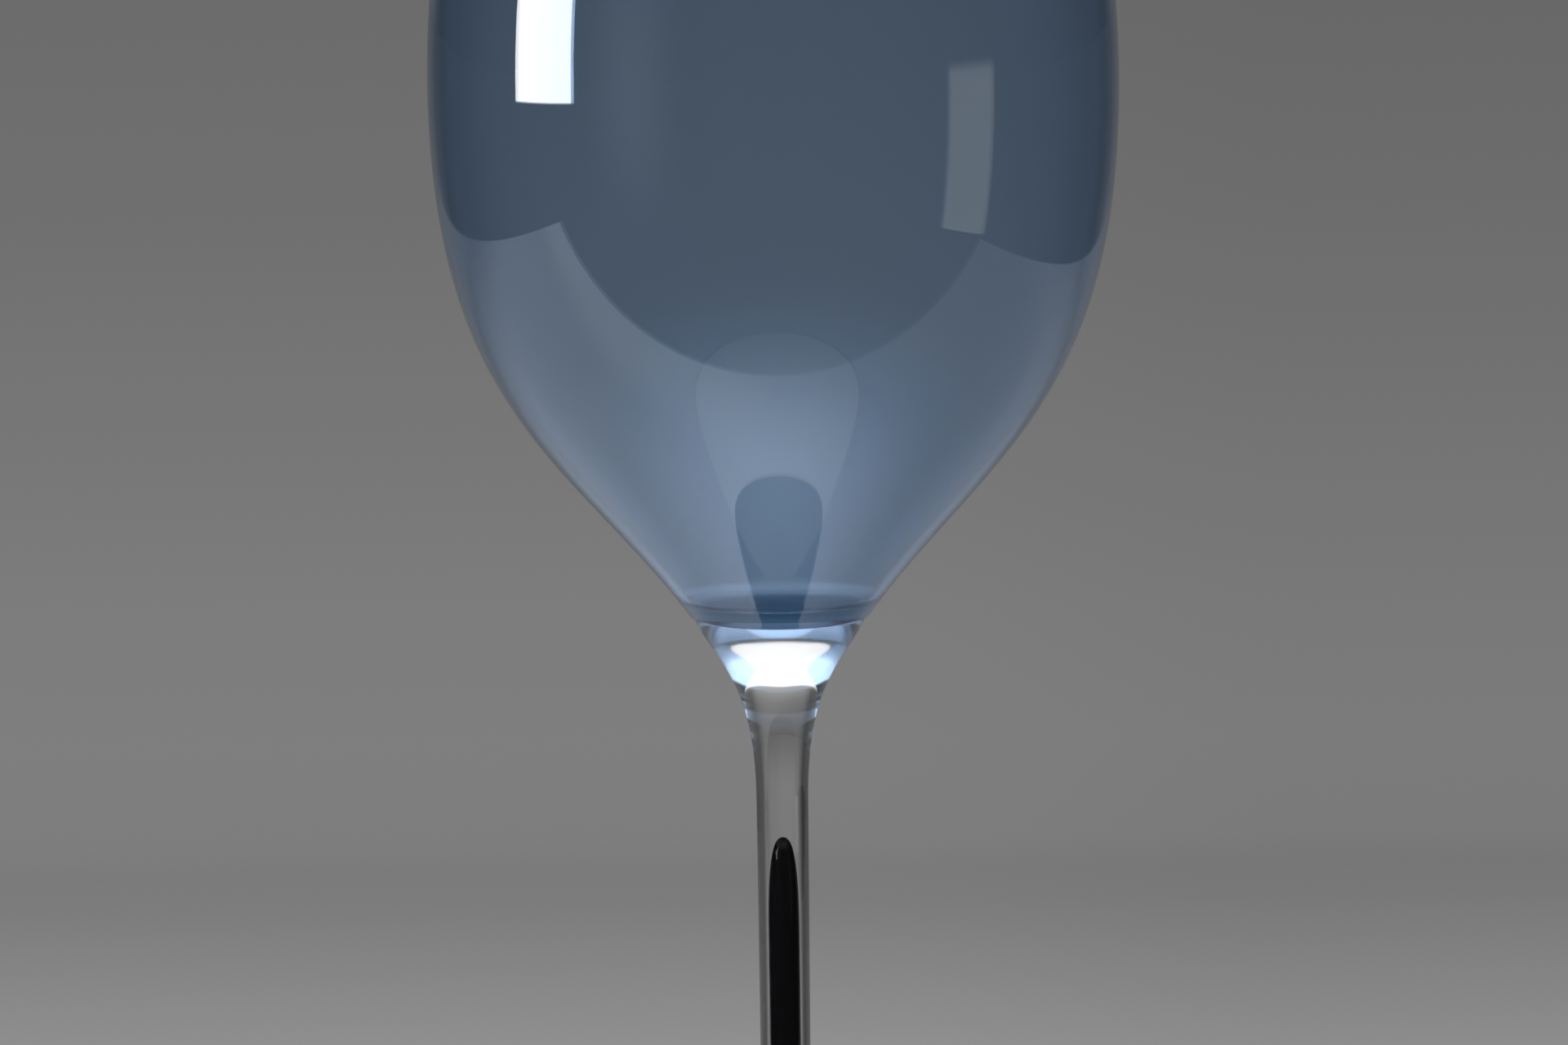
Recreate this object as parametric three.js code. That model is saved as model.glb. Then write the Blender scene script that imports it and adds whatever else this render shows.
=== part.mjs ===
// A tall tulip vase of hand-worked glass: a thin blown bowl, drawn in a little at the mouth, stuck on a
// clear drawn stem with a black glass thread inside it, standing on a wide black foot.
// Every piece is turned about the same upright axis. Units are millimetres, +Z is up, and the table is Z = 0.

import * as THREE from 'three';

// Bowl
const BOWL_RADIUS = 46.7; // outside, at the widest ring
const BOWL_WIDEST_HEIGHT = 337; // the widest ring above the table
const MOUTH_RADIUS = 39.5; // outside, at the lip
const MOUTH_RISE = 46; // the lip above the widest ring
const SEAM_DROP = 72.5; // the seam with the stem below the widest ring
const SEAM_RADIUS = 12.45; // outside, at the top of the rounded edge over the seam
const SEAM_ROUND = 0.6; // radius of that edge
const SEAM_LEDGE = 0.1; // how far the bowl's flat underside stands out over the stem
const BOWL_WALL = 1.1; // the blown wall, from the lip down to the heel
const BOWL_FLOOR = 0.8; // glass left between the hollow and the seam
const HEEL_RISE = 2.6; // above the seam, where the wall begins to turn in to the floor

// Stem
const STEM_RADIUS = 3.6; // just under the flare that carries the bowl
const STEM_SLIM_RADIUS = 3.05; // just above the spread on the foot
const STEM_BASE_RADIUS = 6.6; // where it is spread on the foot
const FLARE_LENGTH = 26; // from the seam down to the plain stem
const SPREAD_LENGTH = 15; // from the plain stem down to the foot

// Thread in the stem
const THREAD_RADIUS = 1.43;
const THREAD_TIP_DROP = 31; // the tip below the seam
const THREAD_TIP_LENGTH = 14; // the tapered end
const THREAD_CLEARANCE = 0.3; // between the thread and its bore

// Foot
const FOOT_RADIUS = 66.5;
const FOOT_EDGE = 2.4; // thickness at the rounded rim
const FOOT_RISE = 9; // height of the crown that the stem stands on
const FOOT_HOLLOW = 2.2; // how far the underside lifts off the table in the middle
const FOOT_RING_WIDTH = 8; // the flat ring that rests on the table

// Slopes are outward millimetres for each millimetre of rise.
const MOUTH_SLOPE = -0.31;
const BOWL_SEAM_SLOPE = 0.729;
const STEM_TOP_SLOPE = 0.453;
const CROWN_SLOPE = -1.1;
const RIM_SLOPE = -18;

// Fullness says how far a curve follows its end direction, as a share of the height it spans.
const SHOULDER_FULLNESS = 0.33;
const LIP_FULLNESS = 0.35;
const BELLY_FULLNESS = 0.6;
const WAIST_FULLNESS = 0.37;
const FLARE_TOP_FULLNESS = 0.284;
const FLARE_FOOT_FULLNESS = 0.66;
const SPREAD_FULLNESS = 0.6;
const CROWN_FULLNESS = 0.55;
const RIM_FULLNESS = 0.3;
const TIP_BLUNTNESS = 0.7;
const TIP_FULLNESS = 0.75;
const HOLLOW_FULLNESS = 0.5;

// How finely the outlines are cut
const TURN_STEPS = 48;
const FOOT_TURN_STEPS = 64;
const LONG_STEPS = 11;
const SHORT_STEPS = 6;
const LIP_STEPS = 4;

const SEAM_HEIGHT = BOWL_WIDEST_HEIGHT - SEAM_DROP;
const SEAM_LEAN = Math.atan(BOWL_SEAM_SLOPE);
const UNDERSIDE_RADIUS = SEAM_RADIUS - SEAM_ROUND * Math.cos(SEAM_LEAN);

const at = (radius, height) => new THREE.Vector2(radius, height);

// A unit step along a slope, upwards for a positive sign and downwards for a negative one.
const along = (slope, sign) => at(slope, 1).normalize().multiplyScalar(sign);

// A cubic curve from start to end. Each end leaves along its own unit direction, for its own distance.
function sweep(start, startWay, startReach, end, endWay, endReach) {
  const startHandle = start.clone().addScaledVector(startWay, startReach);
  const endHandle = end.clone().addScaledVector(endWay, endReach);
  return new THREE.CubicBezierCurve(start, startHandle, endHandle, end);
}

// The same curve moved to its left by a thickness, from one share of it to another.
function inset(curve, thickness, from, to, steps) {
  return Array.from({ length: steps + 1 }, (_, i) => {
    const t = from + ((to - from) * i) / steps;
    const way = curve.getTangent(t);
    return curve.getPoint(t).addScaledVector(at(-way.y, way.x), thickness);
  });
}

// The share of a rising curve at which it reaches a height, found by halving.
function shareAt(curve, height) {
  let below = 0;
  for (let step = 0.5; step > 1e-6; step /= 2) {
    if (curve.getPoint(below + step).y < height) below += step;
  }
  return below;
}

// Half a circle from one point to another, bulging along a unit direction.
function halfRound(from, to, way, steps) {
  const middle = from.clone().add(to).divideScalar(2);
  const radius = from.distanceTo(to) / 2;
  const back = from.clone().sub(middle).normalize();
  return Array.from({ length: steps - 1 }, (_, i) => {
    const turn = (Math.PI * (i + 1)) / steps;
    return middle.clone()
      .addScaledVector(back, radius * Math.cos(turn))
      .addScaledVector(way, radius * Math.sin(turn));
  });
}

// A solid turned about the upright axis from an outline that starts and ends on it.
function turned(name, outline, steps, look) {
  const geometry = new THREE.LatheGeometry(outline, steps);
  geometry.rotateX(Math.PI / 2);
  const mesh = new THREE.Mesh(geometry, new THREE.MeshStandardMaterial(look));
  mesh.name = name;
  return mesh;
}

// Bowl: round the edge over the seam, up the outside, over the lip, and down the inside to the floor.
function bowl() {
  const edge = new THREE.EllipseCurve(
    UNDERSIDE_RADIUS, SEAM_HEIGHT + SEAM_ROUND, SEAM_ROUND, SEAM_ROUND, -Math.PI / 2, -SEAM_LEAN,
  ).getPoints(LIP_STEPS);
  const waist = edge.at(-1);
  const widest = at(BOWL_RADIUS, BOWL_WIDEST_HEIGHT);
  const lip = at(MOUTH_RADIUS, BOWL_WIDEST_HEIGHT + MOUTH_RISE);
  const drop = widest.y - waist.y;
  const belly = sweep(
    waist, along(BOWL_SEAM_SLOPE, 1), WAIST_FULLNESS * drop,
    widest, along(0, -1), BELLY_FULLNESS * drop,
  );
  const shoulder = sweep(
    widest, along(0, 1), SHOULDER_FULLNESS * MOUTH_RISE,
    lip, along(MOUTH_SLOPE, -1), LIP_FULLNESS * MOUTH_RISE,
  );
  const shoulderInside = inset(shoulder, BOWL_WALL, 1, 0, LONG_STEPS);
  const heelShare = shareAt(belly, SEAM_HEIGHT + HEEL_RISE);
  const bellyInside = inset(belly, BOWL_WALL, 1, heelShare, LONG_STEPS);

  const heel = bellyInside.at(-1);
  const wayDown = heel.clone().sub(bellyInside.at(-2)).normalize();
  const floor = at(0, SEAM_HEIGHT + BOWL_FLOOR);
  const turnIn = heel.clone().addScaledVector(wayDown, (floor.y - heel.y) / wayDown.y);
  const hollowEnd = new THREE.QuadraticBezierCurve(heel, turnIn, floor);

  const outline = [
    at(0, SEAM_HEIGHT),
    ...edge,
    ...belly.getPoints(LONG_STEPS).slice(1),
    ...shoulder.getPoints(LONG_STEPS).slice(1),
    ...halfRound(lip, shoulderInside[0], along(MOUTH_SLOPE, 1), LIP_STEPS),
    ...shoulderInside,
    ...bellyInside.slice(1),
    ...hollowEnd.getPoints(SHORT_STEPS).slice(1),
  ];
  return turned('bowl', outline, TURN_STEPS, {
    color: 0x6f8ba8, roughness: 0.03, metalness: 0, transparent: true, opacity: 0.5,
  });
}

// The tapered end of the thread, or of its bore when a clearance is given, from the tip down.
function threadTip(clearance) {
  const radius = THREAD_RADIUS + clearance;
  const tip = at(0, SEAM_HEIGHT - THREAD_TIP_DROP + clearance);
  const shank = at(radius, SEAM_HEIGHT - THREAD_TIP_DROP - THREAD_TIP_LENGTH);
  return sweep(
    tip, at(1, 0), TIP_BLUNTNESS * radius,
    shank, along(0, 1), TIP_FULLNESS * THREAD_TIP_LENGTH,
  ).getPoints(SHORT_STEPS);
}

// Stem: up the outside from the foot to the seam, across to the axis, with the thread's bore cut up into it.
function stem() {
  const base = at(STEM_BASE_RADIUS, FOOT_RISE);
  const slim = at(STEM_SLIM_RADIUS, FOOT_RISE + SPREAD_LENGTH);
  const neck = at(STEM_RADIUS, SEAM_HEIGHT - FLARE_LENGTH);
  const brim = at(UNDERSIDE_RADIUS - SEAM_LEDGE, SEAM_HEIGHT);
  const spread = sweep(
    base, along(CROWN_SLOPE, 1), CROWN_FULLNESS * (STEM_BASE_RADIUS - STEM_SLIM_RADIUS),
    slim, along(0, -1), SPREAD_FULLNESS * SPREAD_LENGTH,
  );
  const flare = sweep(
    neck, along(0, 1), FLARE_FOOT_FULLNESS * FLARE_LENGTH,
    brim, along(STEM_TOP_SLOPE, -1), FLARE_TOP_FULLNESS * FLARE_LENGTH,
  );
  const outline = [
    ...threadTip(THREAD_CLEARANCE),
    at(THREAD_RADIUS + THREAD_CLEARANCE, FOOT_RISE),
    ...spread.getPoints(SHORT_STEPS),
    ...flare.getPoints(LONG_STEPS),
    at(0, SEAM_HEIGHT),
  ];
  return turned('stem', outline, TURN_STEPS, {
    color: 0xd9dfe2, roughness: 0.02, metalness: 0, transparent: true, opacity: 0.35,
  });
}

// Thread: stands on the foot inside the stem's bore and ends in a long tapered tip.
function thread() {
  const outline = [
    at(0, FOOT_RISE),
    at(THREAD_RADIUS, FOOT_RISE),
    ...threadTip(0).reverse(),
  ];
  return turned('stem_thread', outline, TURN_STEPS, { color: 0x0c0b0e, roughness: 0.12, metalness: 0 });
}

// Foot: a shallow crown on a thin rounded rim, hollowed underneath inside the ring that it rests on.
function foot() {
  const ringOuter = at(FOOT_RADIUS - FOOT_EDGE / 2, 0);
  const ringInner = at(ringOuter.x - FOOT_RING_WIDTH, 0);
  const rimTop = at(ringOuter.x, FOOT_EDGE);
  const crown = at(STEM_BASE_RADIUS, FOOT_RISE);
  const middle = at(0, FOOT_HOLLOW);
  const inwards = at(-1, 0);
  const outwards = at(1, 0);
  const span = rimTop.x - crown.x;
  const hollow = sweep(
    middle, outwards, HOLLOW_FULLNESS * ringInner.x,
    ringInner, inwards, RIM_FULLNESS * ringInner.x,
  );
  const top = sweep(
    rimTop, along(RIM_SLOPE, 1), CROWN_FULLNESS * span,
    crown, along(CROWN_SLOPE, -1), RIM_FULLNESS * span,
  );
  const outline = [
    ...hollow.getPoints(SHORT_STEPS),
    ringOuter,
    ...halfRound(ringOuter, rimTop, outwards, LIP_STEPS + 2),
    ...top.getPoints(LONG_STEPS),
    at(0, FOOT_RISE),
  ];
  return turned('foot', outline, FOOT_TURN_STEPS, { color: 0x0e0e11, roughness: 0.05, metalness: 0 });
}

const vase = new THREE.Group();
vase.name = 'tulip_vase';
vase.add(foot(), thread(), stem(), bowl());

export default vase;
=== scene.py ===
# %% [markdown]
# # A tulip vase of blown glass
# The vase is a thin blue-grey bowl on a clear stem with a black thread inside, and a black foot.
# Glass has almost no look of its own. What we see is what it bends, mirrors and swallows, so this
# lesson works on three things: exact walls, glass that is joined to glass with no air between, and
# a table and lamps worth mirroring.

# %% Load the measured solids
import math

import bpy
import numpy as np
from mathutils import Matrix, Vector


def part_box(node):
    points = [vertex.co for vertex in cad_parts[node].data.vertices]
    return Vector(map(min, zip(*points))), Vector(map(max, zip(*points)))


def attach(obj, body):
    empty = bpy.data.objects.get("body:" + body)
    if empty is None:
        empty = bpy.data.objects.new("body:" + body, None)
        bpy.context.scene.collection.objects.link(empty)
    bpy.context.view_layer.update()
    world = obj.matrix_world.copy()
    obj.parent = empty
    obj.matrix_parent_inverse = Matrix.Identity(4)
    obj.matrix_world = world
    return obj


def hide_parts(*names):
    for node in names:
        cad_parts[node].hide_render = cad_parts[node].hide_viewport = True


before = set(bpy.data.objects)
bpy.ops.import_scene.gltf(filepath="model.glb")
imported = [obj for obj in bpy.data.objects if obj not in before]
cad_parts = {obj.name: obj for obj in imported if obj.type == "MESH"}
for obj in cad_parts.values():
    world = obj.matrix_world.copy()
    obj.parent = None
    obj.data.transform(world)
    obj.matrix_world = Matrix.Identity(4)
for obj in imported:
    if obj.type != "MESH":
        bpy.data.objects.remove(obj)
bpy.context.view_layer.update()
bowl_low, bowl_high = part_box("bowl")
foot_low, foot_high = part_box("foot")
thread_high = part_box("stem_thread")[1]
SEAM_Z = bowl_low.z
MILLIMETRES = 1000
print("solids:", sorted(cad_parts), "seam at", round(SEAM_Z, 4), "m")

# %% [markdown]
# ## The camera
# A long lens stands close to the bowl and looks down at it by about ten degrees, so the round seam
# under the bowl opens into a flat ellipse. The picture is leaning a little, which is a roll of the
# camera and not a crooked vase. The place of the seam in the picture fixes pitch and yaw, and the lean is
# given as the roll.

# %% Camera
FRAME_WIDTH, FRAME_HEIGHT = 1920, 1280
SEAM_COLUMN, SEAM_ROW = 955, 753
FOCAL_PIXELS = 5593
SENSOR_WIDTH = 36.0
CLIP_START, CLIP_END = 0.01, 60
CAMERA_DISTANCE = 0.62
LOOK_DOWN_AT_SEAM = math.radians(9.8)
PICTURE_LEAN = math.radians(0.72)


def make_camera():
    """Places the camera so that the middle of the seam falls on its pixel and the axis leans as pictured.
    The pixel is first turned back by the lean. What is left of it, as angles, is taken off the view down."""
    right, down = SEAM_COLUMN - FRAME_WIDTH / 2, SEAM_ROW - FRAME_HEIGHT / 2
    level_right = right * math.cos(PICTURE_LEAN) - down * math.sin(PICTURE_LEAN)
    level_down = right * math.sin(PICTURE_LEAN) + down * math.cos(PICTURE_LEAN)
    pitch = LOOK_DOWN_AT_SEAM - math.atan(level_down / FOCAL_PIXELS)
    yaw = math.atan(level_right / FOCAL_PIXELS)
    data = bpy.data.cameras.new("camera")
    data.sensor_width = SENSOR_WIDTH
    data.lens = FOCAL_PIXELS * SENSOR_WIDTH / FRAME_WIDTH
    data.clip_start, data.clip_end = CLIP_START, CLIP_END
    camera = bpy.data.objects.new("camera", data)
    height = SEAM_Z + CAMERA_DISTANCE * math.tan(LOOK_DOWN_AT_SEAM)
    camera.matrix_world = (
        Matrix.Translation((0, -CAMERA_DISTANCE, height))
        @ Matrix.Rotation(yaw, 4, "Z")
        @ Matrix.Rotation(math.pi / 2 - pitch, 4, "X")
        @ Matrix.Rotation(-PICTURE_LEAN, 4, "Z")
    )
    bpy.context.scene.collection.objects.link(camera)
    bpy.context.scene.camera = camera
    return camera, pitch


camera, pitch = make_camera()
print("camera pitch", round(math.degrees(pitch), 2), "degrees, lens", round(camera.data.lens, 1), "mm")

# %% [markdown]
# ## Outlines and turned surfaces
# Every piece is round about one upright axis, as glass is when it is worked on a turning rod. A
# modeller could spin a curve with a modifier. Here the outline is an array of (radius, height)
# pairs, and one multiplication by cosines and sines carries it round.

# %% Curves of an outline
def sweep(start, start_way, start_reach, end, end_way, end_reach, count):
    """A cubic Bezier: each end point, its handle a given reach along a unit direction, count + 1 samples.
    The weights are (1-t)^3, 3(1-t)^2 t, 3(1-t) t^2 and t^3."""
    t = np.linspace(0, 1, count + 1)[:, None]
    start, end = np.array(start), np.array(end)
    handle_a = start + np.array(start_way) * start_reach
    handle_b = end + np.array(end_way) * end_reach
    u = 1 - t
    return u**3 * start + 3 * u**2 * t * handle_a + 3 * u * t**2 * handle_b + t**3 * end


def along(slope, sign=1):
    """The unit step (outward, up) of a slope given as outward metres for each metre of rise."""
    way = np.array([slope, 1.0])
    return sign * way / np.hypot(*way)


def straight(start, end, count):
    """count + 1 evenly spaced points on the line from start to end."""
    return np.linspace(np.array(start), np.array(end), count + 1)


print("a line in 4 steps has", len(straight((0, 0), (1, 0), 4)), "points")

# %% Moved, rounded and joined lines
SAME_POINT = 1e-7


def inset(line, thickness):
    """Moves each point of a line to its left by a thickness: the direction is the local tangent turned by
    a quarter, and the tangent is the central difference of the points."""
    tangent = np.gradient(line, axis=0)
    tangent /= np.hypot(*tangent.T)[:, None]
    left = np.stack([-tangent[:, 1], tangent[:, 0]], axis=1)
    return line + left * thickness


def half_round(start, end, way, count):
    """Half a circle from start to end that bulges along a unit direction, without its two ends."""
    start, end = np.array(start), np.array(end)
    middle, back = (start + end) / 2, (start - end) / 2
    angle = np.linspace(0, np.pi, count + 1)[1:-1, None]
    return middle + back * np.cos(angle) + np.array(way) * np.hypot(*back) * np.sin(angle)


def joined(*stretches):
    """One outline from several stretches, and for each step the number of the stretch that it lies in.
    A stretch's first point is dropped where it repeats the last point before it."""
    points, owner = [np.array(stretches[0])], [np.zeros(len(stretches[0]) - 1, int)]
    for number, stretch in enumerate(stretches[1:], 1):
        stretch = np.array(stretch)
        repeat = np.hypot(*(stretch[0] - points[-1][-1])) < SAME_POINT
        kept = stretch[1:] if repeat else stretch
        points.append(kept)
        owner.append(np.full(len(kept), number))
    return np.concatenate(points), np.concatenate(owner)


print("a half round in 4 steps has", len(half_round((1, 0), (-1, 0), (0, 1), 4)), "points between its ends")

# %% Turned surface
TURNS = 256
SHARP_ANGLE = math.radians(40)


def turned_faces(ring_count):
    """The corner numbers of all faces: triangles at the first pole, quads between neighbouring rings, and
    triangles at the last pole. Ring i starts at number i * TURNS, and the two poles come after the rings."""
    column = np.arange(TURNS)
    following = (column + 1) % TURNS
    row = np.arange(ring_count - 1)[:, None] * TURNS
    quads = np.stack([row + column, row + following, row + TURNS + following, row + TURNS + column], axis=-1)
    first_pole = ring_count * TURNS
    last_ring, last_pole = first_pole - TURNS, first_pole + 1
    opening = np.stack([np.full(TURNS, first_pole), following, column], axis=-1)
    closing = np.stack([last_ring + column, last_ring + following, np.full(TURNS, last_pole)], axis=-1)
    return opening.tolist() + quads.reshape(-1, 4).tolist() + closing.tolist()


def turned(name, outline, marks):
    """Carries an outline once round the axis: point (i, j) is (r_i cos a_j, r_i sin a_j, z_i).
    The first and last outline points lie on the axis and become one pole each. Each mark is a named face
    attribute that holds one value for each step between outline points."""
    rings = outline[1:-1]
    angle = np.linspace(0, 2 * np.pi, TURNS, endpoint=False)
    around = np.stack([np.cos(angle), np.sin(angle)], axis=1)
    grid = np.empty((len(rings), TURNS, 3))
    grid[..., :2] = rings[:, None, :1] * around
    grid[..., 2] = rings[:, None, 1]
    poles = np.array([[0, 0, outline[0, 1]], [0, 0, outline[-1, 1]]])
    points = np.concatenate([grid.reshape(-1, 3), poles])
    faces = turned_faces(len(rings))

    mesh = bpy.data.meshes.new(name)
    mesh.from_pydata(points.tolist(), [], faces)
    mesh.shade_smooth()
    mesh.set_sharp_from_angle(angle=SHARP_ANGLE)
    for mark_name, steps in marks.items():
        attribute = mesh.attributes.new(mark_name, "FLOAT", "FACE")
        attribute.data.foreach_set("value", np.repeat(steps, TURNS).astype(np.float32))
    piece = bpy.data.objects.new(name, mesh)
    bpy.context.scene.collection.objects.link(piece)
    print(name, "has", len(points), "points and", len(faces), "faces")
    return piece


print("a surface of two rings has", len(turned_faces(2)), "faces")

# %% [markdown]
# ## The bowl
# A blown bubble of clear glass with a thin blue-grey skin on its outside. The belly is one S-shaped
# curve from the widest ring to a small rounded edge over the seam. The inside follows it at the
# wall's thickness and turns in, through a soft heel, to a very thin floor. A modeller could thicken
# a single sheet with a modifier. Here both sides are one closed outline, because each stretch of it
# is marked: fused to the stem, covered by the skin, or darkened by a film of painted shade on the floor of
# the hollow.

# %% Outside of the bowl
BOWL_RADIUS = bowl_high.x
WIDEST_RISE, MOUTH_RISE = 0.0725, 0.046
WIDEST_Z = SEAM_Z + WIDEST_RISE
MOUTH_RADIUS = 0.0395
SEAM_RADIUS = 0.01245
SEAM_ROUND = 0.0006
MOUTH_SLOPE, BOWL_SEAM_SLOPE = -0.31, 0.729
BELLY_REACHES, SHOULDER_REACHES = (0.37, 0.6), (0.33, 0.35)
EDGE_POINTS = 13
FUSE_GAP = 0.00002
UNDER_Z = SEAM_Z + FUSE_GAP


def seam_edge():
    """The small round edge over the seam: an arc from straight down to where the belly's slope begins."""
    steep = math.atan(BOWL_SEAM_SLOPE)
    turn = np.linspace(-math.pi / 2, -steep, EDGE_POINTS)
    middle = np.array([SEAM_RADIUS - SEAM_ROUND * math.cos(steep), UNDER_Z + SEAM_ROUND])
    return middle + SEAM_ROUND * np.stack([np.cos(turn), np.sin(turn)], axis=1)


def bowl_outside(seam):
    """The belly from the seam up to the widest ring and the shoulder from there to the lip, two Beziers.
    A handle's reach is a share of the rise of its curve."""
    rise = WIDEST_Z - seam[1]
    widest, lip = (BOWL_RADIUS, WIDEST_Z), (MOUTH_RADIUS, WIDEST_Z + MOUTH_RISE)
    belly = sweep(
        seam, along(BOWL_SEAM_SLOPE), BELLY_REACHES[0] * rise,
        widest, along(0, -1), BELLY_REACHES[1] * rise, count=72)
    shoulder = sweep(
        widest, along(0), SHOULDER_REACHES[0] * MOUTH_RISE,
        lip, along(MOUTH_SLOPE, -1), SHOULDER_REACHES[1] * MOUTH_RISE, count=60)
    return np.concatenate([belly, shoulder[1:]])


edge = seam_edge()
outside = bowl_outside(edge[-1])
bowl_width = 2 * MILLIMETRES * outside[:, 0].max()
print("bowl is", round(bowl_width, 1), "mm wide, its lip at", round(outside[-1, 1], 4), "m")

# %% Hollow of the bowl
BOWL_WALL = 0.0011
BOWL_FLOOR = 0.0008
HEEL_RISE = 0.0032
FLOOR_POINTS = 41


def bowl_hollow(outside):
    """The outside moved in by the wall, down to the heel, and then a quadratic Bezier in to the middle of the
    floor, with the weights (1-t)^2, 2(1-t)t and t^2. Its handle lies where the wall would meet the floor."""
    inside = inset(outside, BOWL_WALL)[::-1]
    inside = inside[inside[:, 1] > SEAM_Z + HEEL_RISE]
    heel, way_down = inside[-1], inside[-1] - inside[-2]
    way_down = way_down / np.hypot(*way_down)
    floor_middle = np.array([0, SEAM_Z + BOWL_FLOOR])
    turn_in = heel + way_down * (floor_middle[1] - heel[1]) / way_down[1]
    t = np.linspace(0, 1, FLOOR_POINTS)[:, None]
    return inside, (1 - t) ** 2 * heel + 2 * (1 - t) * t * turn_in + t**2 * floor_middle


inside, hollow_end = bowl_hollow(outside)
print("heel turns in at a radius of", round(MILLIMETRES * inside[-1, 0], 1), "mm")

# %% Bowl with its marks
STEM_TOP_RADIUS = 0.01192
JOINT, LEDGE, EDGE, OUTSIDE, LIP, INSIDE, HOLLOW_END = range(7)
FILM_TOP, FILM_FULL, FILM_POWER = 0.005, 0.0009, 3
FLAT_RADIUS, HEEL_RADIUS = 0.0092, 0.0112


def bowl_marks(outline, owner):
    """The marks of each step of the outline. The film of painted shade grows as a power of the way down from
    its top, and the heel's film is the part of it that lies outside the flat middle of the floor."""
    middle_r, middle_z = ((outline[1:] + outline[:-1]) / 2).T
    way_down = np.clip((SEAM_Z + FILM_TOP - middle_z) / (FILM_TOP - FILM_FULL), 0, 1)
    # Painted shade: the film darkens the floor of the hollow, most at the bottom.
    film = way_down**FILM_POWER * (owner >= INSIDE)
    heel = np.clip((middle_r - FLAT_RADIUS) / (HEEL_RADIUS - FLAT_RADIUS), 0, 1)
    return {
        "fused": owner == JOINT,
        "skin": owner <= OUTSIDE,
        "veil": np.isin(owner, (LEDGE, EDGE)),
        "film": film,
        "heel_film": film * heel,
    }


joint = straight((0, UNDER_Z), (STEM_TOP_RADIUS, UNDER_Z), count=12)
ledge = straight(joint[-1], edge[0], count=2)
lip = half_round(outside[-1], inside[0], along(MOUTH_SLOPE), count=12)
outline, owner = joined(joint, ledge, edge, outside, lip, inside, hollow_end)
bowl = turned("bowl_glass", outline, bowl_marks(outline, owner))

# %% [markdown]
# ## The stem and its thread
# The stem is drawn from a clear gather stuck under the bowl: wide where it holds the bowl, thin
# below, and spread a little where it is pressed on the foot. A black thread runs up inside it and
# ends in a long soft point. The stem could be a plain rod with the thread pushed through it, but
# overlapping glass renders wrongly, so the stem has a blind channel that the thread fills.

# %% Outline of the thread
THREAD_RADIUS = thread_high.x
THREAD_TIP_LENGTH = 0.014
TIP_REACHES = (0.7, 0.75)
FOOT_TOP_Z = foot_high.z


def thread_tip(gap):
    """The soft point of the thread, or of the channel round it when a gap is given, from the tip down."""
    radius = THREAD_RADIUS + gap
    tip = (0, thread_high.z + gap)
    shank = (radius, thread_high.z - THREAD_TIP_LENGTH)
    return sweep(
        tip, (1, 0), TIP_REACHES[0] * radius,
        shank, along(0), TIP_REACHES[1] * THREAD_TIP_LENGTH, count=40)


def thread_outline():
    """Across the flat end on the foot, up the shank, and over the soft point."""
    tip = thread_tip(0)[::-1]
    end = straight((0, FOOT_TOP_Z), (THREAD_RADIUS, FOOT_TOP_Z), count=3)
    shank = straight(end[-1], tip[0], count=8)
    return joined(end, shank, tip)[0]


print("the thread ends", round(MILLIMETRES * (SEAM_Z - thread_high.z), 1), "mm under the seam")

# %% Stem and thread
STEM_RADIUS, STEM_SLIM_RADIUS, STEM_BASE_RADIUS = 0.0036, 0.00305, 0.0066
FLARE_LENGTH, SPREAD_LENGTH = 0.026, 0.015
STEM_TOP_SLOPE, CROWN_SLOPE = 0.4532, -1.1
SPREAD_REACHES, FLARE_REACHES = (0.55, 0.6), (0.66, 0.284)
CHANNEL, CHANNEL_WALL, RING, SPREAD, SHAFT, FLARE, TOP = range(7)


def stem_outline():
    """The channel from its tip down, the ring on the foot, then the spread, the shaft and the flare."""
    top_z, base_z = SEAM_Z - FUSE_GAP, FOOT_TOP_Z + FUSE_GAP
    base, slim = (STEM_BASE_RADIUS, base_z), (STEM_SLIM_RADIUS, base_z + SPREAD_LENGTH)
    neck, brim = (STEM_RADIUS, top_z - FLARE_LENGTH), (STEM_TOP_RADIUS, top_z)
    channel = thread_tip(FUSE_GAP)
    channel_wall = straight(channel[-1], (channel[-1][0], base_z), count=8)
    ring = straight(channel_wall[-1], base, count=4)
    spread = sweep(
        base, along(CROWN_SLOPE), SPREAD_REACHES[0] * (STEM_BASE_RADIUS - STEM_SLIM_RADIUS),
        slim, along(0, -1), SPREAD_REACHES[1] * SPREAD_LENGTH, count=32)
    shaft = straight(slim, neck, count=16)
    flare = sweep(
        neck, along(0), FLARE_REACHES[0] * FLARE_LENGTH,
        brim, along(STEM_TOP_SLOPE, -1), FLARE_REACHES[1] * FLARE_LENGTH, count=64)
    top = straight(brim, (0, top_z), count=12)
    outline, owner = joined(channel, channel_wall, ring, spread, shaft, flare, top)
    return outline, {"fused": np.isin(owner, (CHANNEL, CHANNEL_WALL, RING, TOP))}


stem = turned("stem_glass", *stem_outline())
thread = turned("stem_thread_glass", thread_outline(), {})

# %% [markdown]
# ## The foot
# A gather of black glass pressed flat and spun out, with a soft crown in the middle, a rounded rim
# and a lifted underside, so that only a ring of it touches the table. The camera sees it only as a
# mirror image in the bowl, so its outline is kept simple and its rim is truly round.

# %% Foot
FOOT_RADIUS = foot_high.x
FOOT_EDGE = 0.0024
FOOT_HOLLOW = 0.0022
FOOT_RING_WIDTH = 0.008
RIM_SLOPE = -18
HOLLOW_REACHES, CROWN_REACHES = (0.5, 0.3), (0.55, 0.3)


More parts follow.
